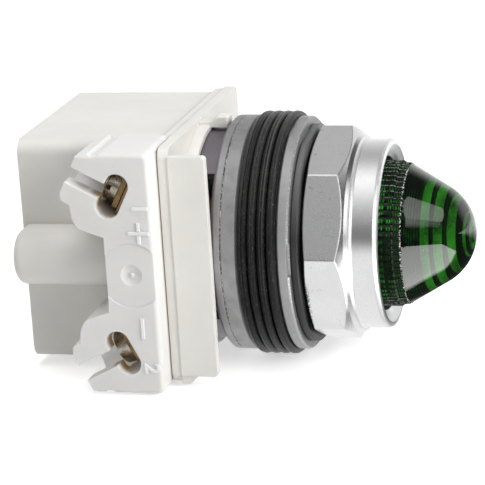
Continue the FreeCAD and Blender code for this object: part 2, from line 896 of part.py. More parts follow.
def build():
    parts = {
        "operator_base": operator_base(),
        "trim_washer": trim_washer(),
        "ring_nut": ring_nut(),
        "lens": lens(),
        "lens_seal": lens_seal(),
        "socket_insulator": socket_insulator(),
        "lamp_socket": lamp_socket(),
        "centre_contact": centre_contact(),
        "lamp_base": lamp_base(),
        "lamp_bulb": lamp_bulb(),
        "front_cover": front_cover(),
        "rear_housing": rear_housing(),
        "terminal_block": terminal_block(),
        "circuit_board": circuit_board(),
        "dropping_resistor": dropping_resistor(),
        "smoothing_capacitor": smoothing_capacitor(),
        "rectifier": rectifier(),
        "feed_strip_centre": feed_strip(strip_thick / 2, 0.0),
        "feed_strip_ring": feed_strip(-ring_contact_y, ring_contact_z),
        "module_screw_near": fixing_screw(-1),
        "module_screw_far": fixing_screw(1),
        "lock_washer_near": lock_washer(-1),
        "lock_washer_far": lock_washer(1),
    }
    for index in range(gasket_count):
        parts["panel_gasket_%d" % (index + 1)] = gasket(index)
    for name, shape in (("terminal_screw", terminal_screw()), ("clamp_plate", clamp_plate()),
                        ("terminal_contact", terminal_contact())):
        upper, lower = terminal_pair(shape)
        parts[name + "_upper"] = upper
        parts[name + "_lower"] = lower
    return parts


os.makedirs("parts", exist_ok=True)
for node, shape in build().items():
    print(node, len(shape.Solids), shape.isValid(), round(shape.Volume, 1))
    shape.exportStep("parts/%s.step" % node)
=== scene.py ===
import math

import bmesh
import bpy
from mathutils import Matrix, Vector


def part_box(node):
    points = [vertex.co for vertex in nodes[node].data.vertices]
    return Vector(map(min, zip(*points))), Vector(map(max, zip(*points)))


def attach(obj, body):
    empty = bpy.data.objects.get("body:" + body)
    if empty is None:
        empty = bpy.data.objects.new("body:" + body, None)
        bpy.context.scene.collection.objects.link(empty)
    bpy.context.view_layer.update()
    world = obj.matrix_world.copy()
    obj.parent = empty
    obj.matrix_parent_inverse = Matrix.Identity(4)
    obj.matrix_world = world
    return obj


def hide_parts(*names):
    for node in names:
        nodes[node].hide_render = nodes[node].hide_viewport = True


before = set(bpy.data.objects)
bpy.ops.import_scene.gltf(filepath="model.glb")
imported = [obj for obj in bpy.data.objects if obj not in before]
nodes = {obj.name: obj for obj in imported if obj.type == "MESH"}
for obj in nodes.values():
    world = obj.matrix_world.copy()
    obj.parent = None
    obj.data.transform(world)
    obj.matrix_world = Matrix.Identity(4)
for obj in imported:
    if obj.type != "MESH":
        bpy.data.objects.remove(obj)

# Panel pilot light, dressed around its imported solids. Lengths in the dictionaries are
# millimetres, and angles are degrees.
mm = 0.001
degree = math.pi / 180
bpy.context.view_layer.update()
print("frame loaded:", len(nodes), "nodes")


# Node writing: a Signal is one socket of a node tree, and the usual operators work on it

class Signal:
    def __init__(self, tree, socket):
        self.tree = tree
        self.socket = socket

    def __add__(self, other):
        return self.tree.calc("ADD", self, other)

    def __radd__(self, other):
        return self.tree.calc("ADD", other, self)

    def __sub__(self, other):
        return self.tree.calc("SUBTRACT", self, other)

    def __rsub__(self, other):
        return self.tree.calc("SUBTRACT", other, self)

    def __mul__(self, other):
        return self.tree.calc("MULTIPLY", self, other)

    def __rmul__(self, other):
        return self.tree.calc("MULTIPLY", other, self)

    def __truediv__(self, other):
        return self.tree.calc("DIVIDE", self, other)

    def __rtruediv__(self, other):
        return self.tree.calc("DIVIDE", other, self)

    def __pow__(self, other):
        return self.tree.calc("POWER", self, other)

    def __rpow__(self, other):
        return self.tree.calc("POWER", other, self)

    def __neg__(self):
        return self.tree.calc("MULTIPLY", self, -1.0)

    def size(self):
        return self.tree.calc("ABSOLUTE", self)

    def clamped(self):
        return self.tree.calc("MINIMUM", self.tree.calc("MAXIMUM", self, 0.0), 1.0)

    def above(self, start, gain):
        # 0 up to start, then rising to 1 by the gain
        return ((self - start) * gain).clamped()

    def below(self, start, gain):
        return ((start - self) * gain).clamped()

    def ramp(self, start, end, unit=mm):
        # 0 at start and 1 at end, which may lie on either side of it
        return ((self - start * unit) / ((end - start) * unit)).clamped()

    def between(self, low, high, soft, unit=mm):
        # 1 from low to high, with soft edges
        rise = self.ramp(low - soft, low + soft, unit)
        return rise * self.ramp(high + soft, high - soft, unit)


class Tree:
    def __init__(self, nodeTree):
        self.nodeTree = nodeTree

    def find(self, sockets, key):
        # a socket by its number, its identifier or its name
        if isinstance(key, int):
            return sockets[key]
        for socket in sockets:
            if socket.identifier == key:
                return socket
        return sockets[key]

    def node(self, kind, settings, links, output=0):
        # any node: its settings come first, then the values or links of its sockets
        made = self.nodeTree.nodes.new(kind)
        for name, value in settings.items():
            setattr(made, name, value)
        for key, value in links.items():
            socket = self.find(made.inputs, key)
            if isinstance(value, Signal):
                self.nodeTree.links.new(value.socket, socket)
            else:
                socket.default_value = value
        return Signal(self, self.find(made.outputs, output)) if made.outputs else made

    def calc(self, operation, *values):
        return self.node("ShaderNodeMath", {"operation": operation}, dict(enumerate(values)))

    def vectorCalc(self, operation, first, second):
        return self.node("ShaderNodeVectorMath", {"operation": operation}, {0: first, 1: second})

    def highest(self, level, *others):
        for other in others:
            level = self.calc("MAXIMUM", level, other)
        return level


class Book(Tree):
    # the node tree of one material, or of the world
    def __init__(self, name, owner=bpy.data.materials, coordinate="Object"):
        self.material = owner.new(name)
        self.material.use_nodes = True
        super().__init__(self.material.node_tree)
        self.nodeTree.nodes.clear()
        self.place = self.node("ShaderNodeTexCoord", {}, {}, coordinate)

    def axes(self):
        first = self.node("ShaderNodeSeparateXYZ", {}, {0: self.place})
        return [Signal(self, out) for out in first.socket.node.outputs]

    def mix(self, factor, first, second):
        return self.node("ShaderNodeMix", {"data_type": "RGBA"},
                         {"Factor_Float": factor, "A_Color": first, "B_Color": second},
                         "Result_Color")

    def layered(self, colour, *layers):
        # tones laid over one another, each by its own mask
        for mask, tone in layers:
            colour = self.mix(mask, colour, tone)
        return colour

    def noise(self, grain, detail=2.0, rough=0.5, vector=None):
        return self.node("ShaderNodeTexNoise", {},
                         {"Vector": vector or self.place, "Scale": 1 / (grain * mm),
                          "Detail": detail, "Roughness": rough})

    def turning(self, along, spacing, detail):
        # noise along one line, like the marks of a lathe
        return self.node("ShaderNodeTexNoise", {"noise_dimensions": "1D"},
                         {"W": along, "Scale": 1 / (spacing * mm), "Detail": detail})

    def softEdge(self, radius):
        return self.node("ShaderNodeBevel", {"samples": 6}, {"Radius": radius * mm})

    def bumped(self, height, depth, normal=None):
        links = {"Height": height, "Strength": 1.0, "Distance": depth * mm}
        if normal is not None:
            links["Normal"] = normal
        return self.node("ShaderNodeBump", {}, links)

    def ray(self, kind):
        return self.node("ShaderNodeLightPath", {}, {}, "Is %s Ray" % kind)

    def finish(self, links):
        shader = self.node("ShaderNodeBsdfPrincipled", {}, links)
        self.node("ShaderNodeOutputMaterial", {}, {"Surface": shader})
        return self.material


def rgb(red, green, blue):
    return (red, green, blue, 1.0)


black = rgb(0.0, 0.0, 0.0)
white = rgb(1.0, 1.0, 1.0)


def placed(name, data):
    # a new object in the scene
    made = bpy.data.objects.new(name, data)
    bpy.context.scene.collection.objects.link(made)
    return made


# Materials. A band is (low, high, softness of its edges) and a ramp (where it is 0, where 1).

# the seam tone is painted shade: a brown line along the joints between the mouldings
whiteLook = {"colour": rgb(0.80, 0.787, 0.75), "shade": rgb(0.74, 0.722, 0.68), "rough": 0.42,
             "specular": 0.45, "grain": 0.28, "grainDepth": 0.012, "patch": 11.0, "flow": 3.0,
             "edge": 0.16, "seamShadeAndGlint": rgb(0.30, 0.22, 0.13), "waxy": 0.25,
             "shadedSeams": ((-18.30, -18.18, 0.05), (-19.88, -19.76, 0.05)),
             "waxyTint": (1.0, 0.85, 0.65), "waxyDepth": 0.9}

terminalLook = dict(whiteLook, colour=rgb(0.80, 0.795, 0.78), shade=rgb(0.76, 0.755, 0.74),
                    shadedSeams=(), waxy=0.6, gapX=(-18.46, -18.36), gapY=(-22.4, -21.1),
                    amber=rgb(0.34, 0.21, 0.08), pocket=(-24.8, 13.2), pocketEdge=(3.4, 4.1),
                    pocketY=(-25.4, -24.2), glow=0.13, glowX=(-21.5, -23.0),
                    glowZ=(-9.0, -10.5))

markLook = dict(whiteLook, colour=rgb(0.93, 0.925, 0.91), shade=rgb(0.90, 0.895, 0.88), shadedSeams=())


def pocketTones(book, look, colour):
    # on the terminal block, painted shade and light: a thin brown line of painted shade in the gap
    # beside the cover, in the pockets a warm painted shade for the light that has passed through
    # the moulding and off the brass, and a faint painted glow on the deep low walls of the lower
    # channel
    x, y, z = book.axes()
    gap = y.ramp(*look["gapY"]) * x.ramp(*look["gapX"])
    deep = y.ramp(*look["pocketY"])
    side = x - look["pocket"][0] * mm
    up = z.size() - look["pocket"][1] * mm
    far = ((side * side + up * up) ** 0.5).ramp(*look["pocketEdge"])
    colour = book.layered(colour, (gap * 0.85, look["seamShadeAndGlint"]),
                          (deep * (1 - far) * 0.9, look["amber"]))
    low = z.ramp(*look["glowZ"]) * x.ramp(*look["glowX"])
    return colour, book.mix(deep * low, black, colour)


def makeWhitePlastic(name, look, seedShift):
    book = Book(name)
    shifted = book.vectorCalc("ADD", book.place, (seedShift, 0.0, 0.0))
    patch = book.noise(look["patch"], 3.0, 0.55, shifted)
    fine = book.noise(look["grain"], 3.0, 0.6, shifted)
    flow = book.noise(look["flow"], 2.0, 0.5,
                      book.vectorCalc("MULTIPLY", shifted, (0.25, 1.0, 0.25)))
    tone = ((patch - 0.5) * 1.6 + (flow - 0.5) * 0.6 + 0.4).clamped()
    colour = book.mix(tone, look["colour"], look["shade"])
    x = book.axes()[0]
    # painted shade: a brown line along each joint between the mouldings
    for seamShadeAndGlint in look["shadedSeams"]:
        colour = book.mix(x.between(*seamShadeAndGlint) * 0.75, colour, look["seamShadeAndGlint"])
    links = {"Specular IOR Level": look["specular"], "Subsurface Weight": look["waxy"],
             "Subsurface Radius": look["waxyTint"], "Subsurface Scale": look["waxyDepth"] * mm}
    if "glow" in look:
        colour, links["Emission Color"] = pocketTones(book, look, colour)
        links["Emission Strength"] = look["glow"]
    links["Base Color"] = colour
    links["Roughness"] = look["rough"] + (patch - 0.5) * 0.12 + (fine - 0.5) * 0.08
    links["Normal"] = book.bumped(fine, look["grainDepth"], book.softEdge(look["edge"]))
    return book.finish(links)


castLook = {"colour": rgb(0.36, 0.357, 0.36), "dark": rgb(0.25, 0.247, 0.25),
            "pale": rgb(0.55, 0.55, 0.55), "rear": rgb(0.22, 0.19, 0.23),
            "rearBand": (-11.05, -10.45, 0.12), "spigot": rgb(0.20, 0.185, 0.21),
            "spigotRamp": (-11.0, -11.15), "grooveBand": (-9.35, -9.15, 0.06),
            "glint": rgb(0.95, 0.94, 0.92), "grooveShade": rgb(0.1, 0.1, 0.1), "mottle": 2.4,
            "grain": 0.2, "specks": 0.45, "grainDepth": 0.016, "edge": 0.2, "rough": 0.55}


def makeCastZinc(look):
    book = Book("castZinc")
    x = book.axes()[0]
    mottle = book.noise(look["mottle"], 4.0, 0.6)
    grain = book.noise(look["grain"], 3.0, 0.65)
    specks = book.noise(look["specks"], 2.0, 0.7)
    # the groove gets painted glints along it and painted shade on its dark side
    groove = x.between(*look["grooveBand"])
    grooveGlint = groove * specks.above(0.46, 9.0)
    colour = book.layered(look["colour"], (mottle.above(0.42, 2.0), look["dark"]),
                          (grain.above(0.5, 2.5) * 0.35, look["pale"]),
                          (x.between(*look["rearBand"]) * 0.85, look["rear"]),
                          (x.ramp(*look["spigotRamp"]) * 0.85, look["spigot"]),
                          (grooveGlint * 0.9, look["glint"]),
                          (groove * specks.below(0.45, 9.0) * 0.6, look["grooveShade"]))
    rough = look["rough"] + (mottle - 0.5) * 0.2 - grooveGlint * 0.2
    normal = book.bumped(grain + specks * groove * 2.0, look["grainDepth"],
                         book.softEdge(look["edge"]))
    return book.finish({"Base Color": colour, "Metallic": 0.8, "Roughness": rough,
                        "Normal": normal})


washerLook = {"first": rgb(0.37, 0.37, 0.372), "second": rgb(0.045, 0.045, 0.046),
              "secondLitTop": rgb(0.22, 0.22, 0.222), "stepRamp": (1.95, 2.05),
              "topLightRamp": (4.0, 16.0), "cloud": rgb(0.2, 0.2, 0.205),
              "edgeBand": (1.72, 1.98, 0.06), "edgeHighlight": rgb(0.62, 0.62, 0.62),
              "glint": rgb(0.95, 0.94, 0.92), "turning": 0.16, "mottle": 1.8, "specks": 0.3,
              "rough": 0.5, "depth": 0.008, "edgeRadius": 0.15}


def makeWasherSteel(look):
    book = Book("washerSteel")
    x, y, z = book.axes()
    radius = (y * y + z * z) ** 0.5
    turned = book.turning(radius + x * 0.7, look["turning"], 2.0)
    mottle = book.noise(look["mottle"], 4.0, 0.6)
    specks = book.noise(look["specks"], 2.0, 0.6)
    # the front tier is darker and turns lighter towards the top as painted light; the edge band
    # gets a painted highlight with painted glints
    front = x.ramp(*look["stepRamp"])
    second = book.mix(z.ramp(*look["topLightRamp"]) * 0.8, look["second"], look["secondLitTop"])
    edge = x.between(*look["edgeBand"])
    colour = book.layered(look["first"], (front, second),
                          (mottle.above(0.45, 0.7) * (1.0 - front * 0.8), look["cloud"]),
                          (edge * 0.15, look["edgeHighlight"]),
                          (edge * specks.above(0.6, 12.0), look["glint"]))
    rough = look["rough"] + (turned - 0.5) * 0.2 + (mottle - 0.5) * 0.1
    normal = book.bumped(turned + specks * 0.5, look["depth"], book.softEdge(look["edgeRadius"]))
    return book.finish({"Base Color": colour, "Metallic": 0.6, "Roughness": rough,
                        "Normal": normal})


nutLook = {"colour": rgb(0.72, 0.72, 0.725), "cloud": rgb(0.60, 0.60, 0.605),
           "dull": rgb(0.45, 0.45, 0.45), "pit": rgb(0.16, 0.14, 0.16),
           "gap": rgb(0.012, 0.012, 0.013), "edgeHighlight": rgb(0.93, 0.93, 0.93),
           "flatsRamp": (11.0, 10.2), "hub": (0.45, 0.4), "raggedShadow": (1.15, 0.65),
           "raggedShadowZ": (-3.5, -5.5), "highlightBands": ((11.05, 11.5, 0.1), (15.15, 15.7, 0.1)),
           "edge": 0.3, "depth": 0.008, "rough": 0.29}


def makeNutMetal(look):
    book = Book("nutMetal")
    x, y, z = book.axes()
    cloud = book.noise(5.0, 4.0, 0.6)
    grain = book.noise(0.3, 3.0, 0.7)
    pits = book.noise(1.3, 1.0, 0.4)
    flats = x.ramp(*look["flatsRamp"])
    pitMask = pits.above(0.7, 8.0) * (flats * 0.8 + 0.2)
    # painted highlights: bright bands along the edges of the cone and the collar
    highlightLines = 0.0
    for edgeHighlight in look["highlightBands"]:
        highlightLines = x.between(*edgeHighlight) + highlightLines
    highlightLines = highlightLines * (0.55 + (grain - 0.5) * 1.5)
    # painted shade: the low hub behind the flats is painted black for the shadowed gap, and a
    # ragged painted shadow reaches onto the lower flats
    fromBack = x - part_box("ring_nut")[0].x
    hub = fromBack.ramp(*look["hub"])
    raggedShadow = fromBack.ramp(*look["raggedShadow"]) * z.ramp(*look["raggedShadowZ"])
    raggedShadow = raggedShadow * book.noise(0.35, 2.0, 0.7).above(0.46, 12.0)
    colour = book.layered(look["colour"], (cloud.above(0.45, 1.5), look["cloud"]),
                          (grain.above(0.5, 2.0) * 0.25, look["dull"]),
                          (pitMask * 0.4, look["pit"]), (highlightLines.clamped(), look["edgeHighlight"]),
                          (book.highest(hub, raggedShadow), look["gap"]))
    rough = look["rough"] + (cloud - 0.5) * 0.1 + (grain - 0.5) * 0.1 + highlightLines * 0.2
    height = grain * (0.35 + flats * 0.5) - pitMask * 0.6
    normal = book.bumped(height, look["depth"], book.softEdge(look["edge"]))
    return book.finish({"Base Color": colour, "Metallic": 1.0 - highlightLines.clamped() * 0.6,
                        "Roughness": rough, "Normal": normal})


# "cells" is how many cells of the streaks lie in a metre along, a radian round and a metre out
rubberLook = {"colour": rgb(0.006, 0.006, 0.0062), "dust": rgb(0.1, 0.098, 0.096),
              "line": rgb(0.12, 0.118, 0.116), "groove": rgb(0.002, 0.002, 0.002),
              "speck": rgb(0.5, 0.49, 0.48), "rough": 0.38, "specular": 0.16, "ridge": 0.26,
              "cells": (2600.0, 7.0, 1500.0), "topLightRamp": (3.0, 18.0), "depth": 0.08}


def makeRubber(name, look):
    book = Book(name)
    x, y, z = book.axes()
    radius = (y * y + z * z) ** 0.5
    about = book.calc("ARCTAN2", y, z)
    cells = look["cells"]
    wrapped = book.node("ShaderNodeCombineXYZ", {},
                        {0: x * cells[0], 1: about * cells[1], 2: radius * cells[2]})
    streak = book.noise(1 / mm, 4.0, 0.65, wrapped)
    ridges = book.turning(x + radius * 0.3, look["ridge"], 1.0)
    fine = book.noise(0.16, 2.0, 0.7)
    # the dust tone lies in patches and also lightens the top
    dust = streak.above(0.5, 3.0) * book.noise(6.0, 3.0, 0.55).above(0.35, 2.0)
    top = z.ramp(*look["topLightRamp"])
    # painted highlights along the ridge crests, stronger towards the top; the grooves between the
    # ridges are painted near black as shade
    highlightLines = ridges.above(0.55, 7.0) * (streak * 0.3 + top * 0.5)
    colour = book.layered(look["colour"], (dust * 0.1 + top * 0.2, look["dust"]),
                          (ridges.below(0.5, 4.0) * 0.8, look["groove"]),
                          (fine.above(0.65, 12.0) * 0.8, look["speck"]),
                          (highlightLines.clamped(), look["line"]))
    rough = look["rough"] + dust * 0.2 + (fine - 0.5) * 0.15
    normal = book.bumped(ridges * 2.6 + fine * 0.5 + streak * 0.8, look["depth"])
    return book.finish({"Base Color": colour, "Roughness": rough, "Normal": normal,
                        "Specular IOR Level": look["specular"]})


# "lit" are the rows of the grip where green shows, each a band and how strongly it shows
lensLook = {"green": rgb(0.05, 0.34, 0.035), "deepGreen": rgb(0.045, 0.30, 0.03),
            "wellGreen": rgb(0.02, 0.30, 0.012), "wellDark": rgb(0.001, 0.004, 0.001),
            "gripGreen": rgb(0.03, 0.52, 0.025), "gripDark": rgb(0.001, 0.004, 0.001),
            "tread": rgb(0.17, 0.45, 0.11), "treadDark": rgb(0.02, 0.07, 0.015),
            "hair": rgb(0.5, 0.8, 0.3), "crest": rgb(0.34, 0.36, 0.34),
            "rimGlint": rgb(0.75, 0.78, 0.75), "step": rgb(0.002, 0.024, 0.002),
            "stepDark": rgb(0.0008, 0.008, 0.0008), "bend": 1.7, "threadPitch": 0.44,
            "lobes": 5.0, "flutes": 64, "rimBand": (18.66, 18.9, 0.05),
            "seamBand": (17.42, 17.56, 0.04), "crestRamp": (7.0, 10.0),
            "lit": (((13.2, 15.9, 0.1), 1.0), ((16.5, 17.4, 0.1), 0.5),
                    ((17.6, 18.6, 0.1), 0.25)),
            "gripGlow": 0.5, "wellGlow": 0.2, "treadGlow": 0.55}


def makeLensPlastic(look):
    book = Book("greenLens")
    haze = book.noise(3.5, 3.0, 0.5)
    colour = book.mix(haze, look["green"], look["deepGreen"])
    return book.finish({"Base Color": colour, "Roughness": 0.01 + haze.above(0.55, 0.05),
                        "Transmission Weight": 1.0, "IOR": look["bend"],
                        "Normal": book.bumped(book.noise(0.25, 2.0, 0.6), 0.0006)})


def threadGlow(book, look):
    # patches where light comes through between the turns of the thread inside
    x, y, z = book.axes()
    angle = book.calc("ARCTAN2", z, y)
    lobe = book.calc("SINE", angle * look["lobes"] + 1.1) * 0.4 + 0.75
    pitch = look["threadPitch"] * mm
    turn = book.calc("SINE", x * (2 * math.pi / pitch) + angle) * 0.5 + 0.5
    glow = (lobe - 0.25).clamped() * turn.above(0.3, 2.5)
    return angle, glow * book.noise(1.6, 2.0, 0.6).above(0.36, 3.0)


def glowing(book, colour, rough, specular, strength):
    # a surface that also shows its colour as light from inside the lens
    return book.finish({"Base Color": colour, "Roughness": rough, "Specular IOR Level": specular,
                        "Emission Color": colour, "Emission Strength": strength})


def makeLensGrip(look):
    # the fluted band is painted dark as shade, with painted green light in the valleys and painted
    # glints along a ragged bright front
    book = Book("lensGrip")
    x, y, z = book.axes()
    angle, glow = threadGlow(book, look)
    specks = book.noise(0.35, 2.0, 0.7)
    flute = book.calc("COSINE", (angle - math.pi / 2) * look["flutes"]) * -0.5 + 0.5
    lit = 0.0
    for row, strength in look["lit"]:
        lit = x.between(*row) * strength + lit
    # painted glints: bright specks along the front rim and, fainter, along the small step
    rim = x.between(*look["rimBand"]) * specks.above(0.5, 10.0)
    seamShadeAndGlint = x.between(*look["seamBand"]) * specks.above(0.57, 10.0)
    # crests of the flutes catch the light at the top and the bottom
    crest = flute.below(0.16, 8.0) * z.size().ramp(*look["crestRamp"])
    crest = crest * specks.above(0.42, 6.0)
    colour = book.layered(look["gripDark"],
                          ((glow * flute.above(0.3, 2.5) * lit).clamped(), look["gripGreen"]),
                          ((rim * 0.6 + seamShadeAndGlint * 0.12).clamped(), look["rimGlint"]),
                          (crest * 0.45, look["crest"]))
    return glowing(book, colour, 0.2 + specks * 0.15, 0.14, look["gripGlow"])


def makeLensWell(look):
    # the inside wall: painted dark as shade, with the fine turns of a thread glowing green in
    # places as painted light
    book = Book("lensWell")
    glow = threadGlow(book, look)[1]
    colour = book.mix(glow * 0.8, look["wellDark"], look["wellGreen"])
    return glowing(book, colour, 0.4, 0.1, look["wellGlow"])


def makeLensTread(look):
    # the rings between the steps glow green with what comes through from behind
    book = Book("lensTread")
    x, y, z = book.axes()
    angle = book.calc("ARCTAN2", z, y)
    broad = book.calc("SINE", angle * 3.0 + x * 900.0 + 0.4) * 0.5 + 0.5
    patch = book.noise(2.4, 3.0, 0.6)
    hair = book.noise(0.5, 1.0, 0.5, book.vectorCalc("MULTIPLY", book.place, (3.0, 1.0, 1.0)))
    glow = broad * 0.45 + patch.above(0.35, 2.2) * 0.65
    colour = book.layered(look["treadDark"], (glow.clamped(), look["tread"]),
                          (hair.above(0.66, 12.0) * 0.5, look["hair"]))
    return glowing(book, colour, 0.3 + patch * 0.2, 0.1, look["treadGlow"])


def makeLensStep(look):
    # the step faces are painted near black, as shade seen through the clear plastic
    book = Book("lensStep")
    patch = book.noise(1.5, 2.0, 0.5)
    colour = book.mix(patch, look["stepDark"], look["step"])
    return book.finish({"Base Color": colour, "Roughness": 0.25 + patch * 0.1,
                        "Specular IOR Level": 0.1})


def makeLampGlass():
    book = Book("lampGlass")
    haze = book.noise(2.0, 3.0, 0.5)
    return book.finish({"Base Color": rgb(0.95, 0.96, 0.95), "Transmission Weight": 1.0,
                        "IOR": 1.45, "Roughness": 0.02 + haze.above(0.5, 0.08)})


# small parts: clouds of a duller tone over a fine grain
metal = {"metallic": 1.0, "cloud": 2.2, "detail": 4.0, "fine": 0.4, "start": 0.4, "gain": 1.8,
         "cloudRough": 0.2, "fineRough": 0.1}
plastic = {"metallic": 0.0, "cloud": 3.0, "detail": 3.0, "fine": 0.3, "start": 0.35, "gain": 1.6,
           "cloudRough": 0.15, "fineRough": 0.08}
plainLooks = {
    "agedBronze": (metal, rgb(0.20, 0.135, 0.065), rgb(0.07, 0.045, 0.025), 0.3),
    "agedSteel": (metal, rgb(0.42, 0.38, 0.31), rgb(0.10, 0.08, 0.06), 0.28),
    "dullBrass": (metal, rgb(0.60, 0.42, 0.17), rgb(0.36, 0.23, 0.09), 0.36),
    "screwSteel": (metal, rgb(0.60, 0.585, 0.55), rgb(0.38, 0.35, 0.30), 0.30),
    "lampNickel": (metal, rgb(0.66, 0.65, 0.62), rgb(0.45, 0.43, 0.40), 0.25),
    "blackMoulding": (plastic, rgb(0.015, 0.015, 0.016), rgb(0.03, 0.028, 0.027), 0.45),
    "boardLaminate": (plastic, rgb(0.03, 0.14, 0.06), rgb(0.02, 0.09, 0.04), 0.4),
    "resistorCoat": (plastic, rgb(0.30, 0.45, 0.44), rgb(0.22, 0.36, 0.36), 0.5),
    "capacitorSleeve": (plastic, rgb(0.02, 0.02, 0.05), rgb(0.01, 0.01, 0.02), 0.3),
}


def makePlain(name, look, colour, dull, rough):
    book = Book(name)
    cloud = book.noise(look["cloud"], look["detail"], 0.6)
    fine = book.noise(look["fine"], 3.0, 0.65)
    rough = rough + (cloud - 0.5) * look["cloudRough"] + (fine - 0.5) * look["fineRough"]
    tone = book.mix(cloud.above(look["start"], look["gain"]), colour, dull)
    return book.finish({"Base Color": tone, "Metallic": look["metallic"], "Roughness": rough,
                        "Normal": book.bumped(fine, 0.01, book.softEdge(0.1))})


markPlastic = makeWhitePlastic("markPlastic", markLook, 2.7)
gasketRubber = makeRubber("gasketRubber", rubberLook)
greenLens = makeLensPlastic(lensLook)
lensGrip = makeLensGrip(lensLook)
lensWell = makeLensWell(lensLook)
lensStep = makeLensStep(lensLook)
lensTread = makeLensTread(lensLook)

finishes = {
    makeWhitePlastic("whitePlastic", whiteLook, 0.0): ("rear_housing",),
    makeWhitePlastic("coverPlastic", whiteLook, 0.7): ("front_cover",),
    makeWhitePlastic("terminalPlastic", terminalLook, 1.9): ("terminal_block",),
    makeCastZinc(castLook): ("operator_base",),
    makeWasherSteel(washerLook): ("trim_washer",),
    makeNutMetal(nutLook): ("ring_nut",),
    makeRubber("sealRubber", dict(rubberLook, rough=0.6)): ("lens_seal",),
    makeLampGlass(): ("lamp_bulb",),
}
plainNodes = {
    "agedBronze": ("terminal_contact_upper", "terminal_contact_lower", "clamp_plate_upper",
                   "clamp_plate_lower"),
    "agedSteel": ("terminal_screw_upper", "terminal_screw_lower"),
    "dullBrass": ("lamp_socket", "centre_contact", "feed_strip_centre", "feed_strip_ring"),
    "screwSteel": ("module_screw_near", "module_screw_far", "lock_washer_near",
                   "lock_washer_far"),
    "lampNickel": ("lamp_base",),
    "blackMoulding": ("socket_insulator", "rectifier"),
    "boardLaminate": ("circuit_board",),
    "resistorCoat": ("dropping_resistor",),
    "capacitorSleeve": ("smoothing_capacitor",),
}
for name, look in plainLooks.items():
    finishes[makePlain(name, *look)] = plainNodes[name]
for finish, nodeNames in finishes.items():
    for nodeName in nodeNames:
        shown = nodes[nodeName]
        if not shown.material_slots:
            shown.data.materials.append(finish)
        for place in shown.material_slots:
            place.material = finish
print("materials made:", len(bpy.data.materials))


# Meshes and geometry trees

weld = {"mesh": 1e-7, "slices": 2e-6}  # in metres: points nearer than this become one


def settle(piece, body, replaced=()):
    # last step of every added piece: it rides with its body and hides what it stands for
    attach(piece, body)
    if replaced:
        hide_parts(*replaced)


def fluteWave(share):
    return (0.5 - 0.5 * math.cos(2 * math.pi * share)) ** 0.7


def sectorMesh(name, loop, count, columns):
    # one slice of a turned form, 1/count of a turn wide, from (x, radius, flute depth) points
    mesh = bpy.data.meshes.new(name)
    form = bmesh.new()
    rows = []
    for column in range(columns + 1):
        share = column / columns
        angle = 2 * math.pi / count * share
        row = []
        for x, radius, depth in loop:
            reach = (radius - depth * fluteWave(share)) * mm
            row.append(form.verts.new((x * mm, -reach * math.sin(angle), reach * math.cos(angle))))
        rows.append(row)
    for left, right in zip(rows, rows[1:]):
        for index in range(len(loop)):
            after = (index + 1) % len(loop)
            if loop[index][1] > 0 or loop[after][1] > 0:
                form.faces.new((left[index], right[index], right[after], left[after]))
    bmesh.ops.remove_doubles(form, verts=form.verts, dist=weld["mesh"])
    form.to_mesh(mesh)
    form.free()
    return mesh


def aroundAxisTree():
    # slices turned about the lamp axis, joined, and roughened a little along their normals
    group = bpy.data.node_groups.new("aroundAxis", "GeometryNodeTree")
    for name, kind in (("Geometry", "Geometry"), ("Count", "Int"), ("Roughening", "Float"),
                       ("Grain", "Float"), ("Seed", "Float"), ("Material", "Material")):
        group.interface.new_socket(name, in_out="INPUT", socket_type="NodeSocket" + kind)
    group.interface.new_socket("Geometry", in_out="OUTPUT", socket_type="NodeSocketGeometry")
    tree = Tree(group)
    outputs = group.nodes.new("NodeGroupInput").outputs
    given = {socket.name: Signal(tree, socket) for socket in outputs}
    line = tree.node("GeometryNodeMeshLine", {},
                     {"Count": given["Count"], "Offset": (0.0, 0.0, 0.0)})
    turn = tree.node("GeometryNodeInputIndex", {}, {}) / given["Count"] * (2 * math.pi)
    angles = tree.node("ShaderNodeCombineXYZ", {}, {"X": turn})
    spread = tree.node("GeometryNodeInstanceOnPoints", {},
                       {"Points": line, "Instance": given["Geometry"], "Rotation": angles})
    real = tree.node("GeometryNodeRealizeInstances", {}, {"Geometry": spread})
    merged = tree.node("GeometryNodeMergeByDistance", {},
                       {"Geometry": real, "Distance": weld["slices"]})
    noise = tree.node("ShaderNodeTexNoise", {"noise_dimensions": "4D"},
                      {"W": given["Seed"], "Scale": given["Grain"], "Detail": 3.0})
    normal = tree.node("GeometryNodeInputNormal", {}, {})
    push = tree.node("ShaderNodeVectorMath", {"operation": "SCALE"},
                     {0: normal, "Scale": (noise - 0.5) * given["Roughening"]})
    moved = tree.node("GeometryNodeSetPosition", {}, {"Geometry": merged, "Offset": push})
    smooth = tree.node("GeometryNodeSetShadeSmooth", {}, {"Geometry": moved})
    coloured = tree.node("GeometryNodeSetMaterial", {},
                         {"Geometry": smooth, "Material": given["Material"]})
    tree.node("NodeGroupOutput", {}, {0: coloured})
    return group


aroundAxis = aroundAxisTree()


def grown(name, mesh, group, values):
    # runs a geometry tree on a mesh and keeps the result as a plain mesh
    piece = placed(name, mesh)
    modifier = piece.modifiers.new("grow", "NODES")
    modifier.node_group = group
    for item in group.interface.items_tree:
        if item.item_type == "SOCKET" and item.in_out == "INPUT" and item.name in values:
            modifier[item.identifier] = values[item.name]
    depsgraph = bpy.context.evaluated_depsgraph_get()
    plain = bpy.data.meshes.new_from_object(piece.evaluated_get(depsgraph))
    piece.modifiers.remove(modifier)
    piece.data = plain
    plain.name = name
    return piece


